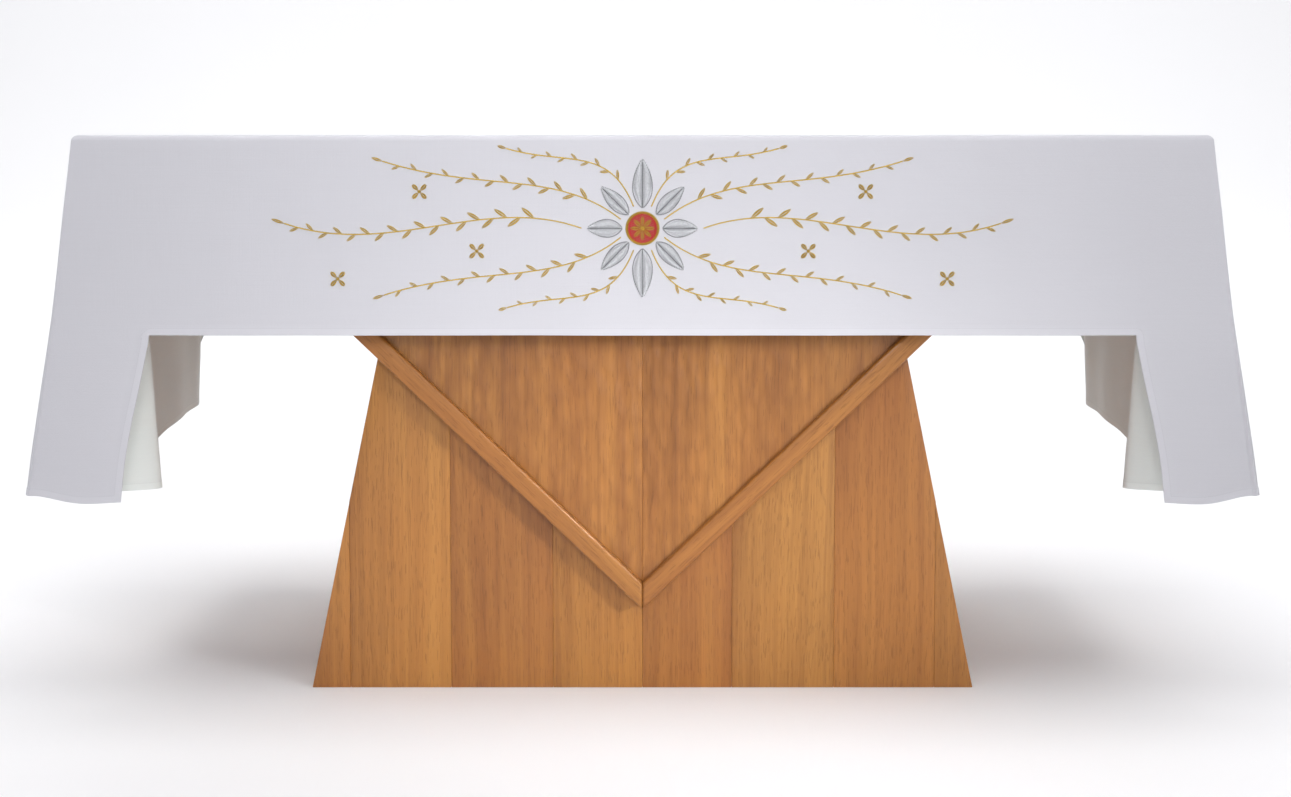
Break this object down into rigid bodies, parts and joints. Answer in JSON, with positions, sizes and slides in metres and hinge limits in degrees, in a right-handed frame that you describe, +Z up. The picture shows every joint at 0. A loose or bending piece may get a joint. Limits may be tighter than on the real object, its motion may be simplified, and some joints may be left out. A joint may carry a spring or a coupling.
{
  "type": "altar cloth on an altar table",
  "caption": "Plain cloth draped over an altar table: short drops front and back, long drops at both ends, folded corner falls, and a tapered body of boards under the slab.",
  "frame": {"origin": "on the floor, under the middle of the table", "axes": "+X along the table's length to the right as seen from the front, -Y to the front, +Z up"},
  "size_m": [1.9506, 0.892, 0.9153],
  "materials": {
    "cloth": "matt plain weave, white with a cool tint",
    "slab_oak": "honey oak, satin varnish",
    "body_oak": "honey oak boards, upright grain, satin varnish",
    "front_oak": "honey oak, satin varnish",
    "border_oak": "honey oak, satin varnish"
  },
  "bodies": {
    "root": {"altar_cloth": "cloth", "table_slab": "slab_oak", "front_board_left_1": "body_oak", "front_board_left_2": "body_oak", "front_board_left_3": "body_oak", "front_board_left_4": "body_oak", "front_board_right_1": "body_oak", "front_board_right_2": "body_oak", "front_board_right_3": "body_oak", "front_board_right_4": "body_oak", "back_board_left_1": "body_oak", "back_board_left_2": "body_oak", "back_board_left_3": "body_oak", "back_board_left_4": "body_oak", "back_board_right_1": "body_oak", "back_board_right_2": "body_oak", "back_board_right_3": "body_oak", "back_board_right_4": "body_oak", "side_board_left_1": "body_oak", "side_board_left_2": "body_oak", "side_board_left_3": "body_oak", "side_board_left_4": "body_oak", "side_board_right_1": "body_oak", "side_board_right_2": "body_oak", "side_board_right_3": "body_oak", "side_board_right_4": "body_oak", "v_board_left": "front_oak", "v_board_right": "front_oak", "v_border_left": "border_oak", "v_border_right": "border_oak"}
  },
  "joints": []
}
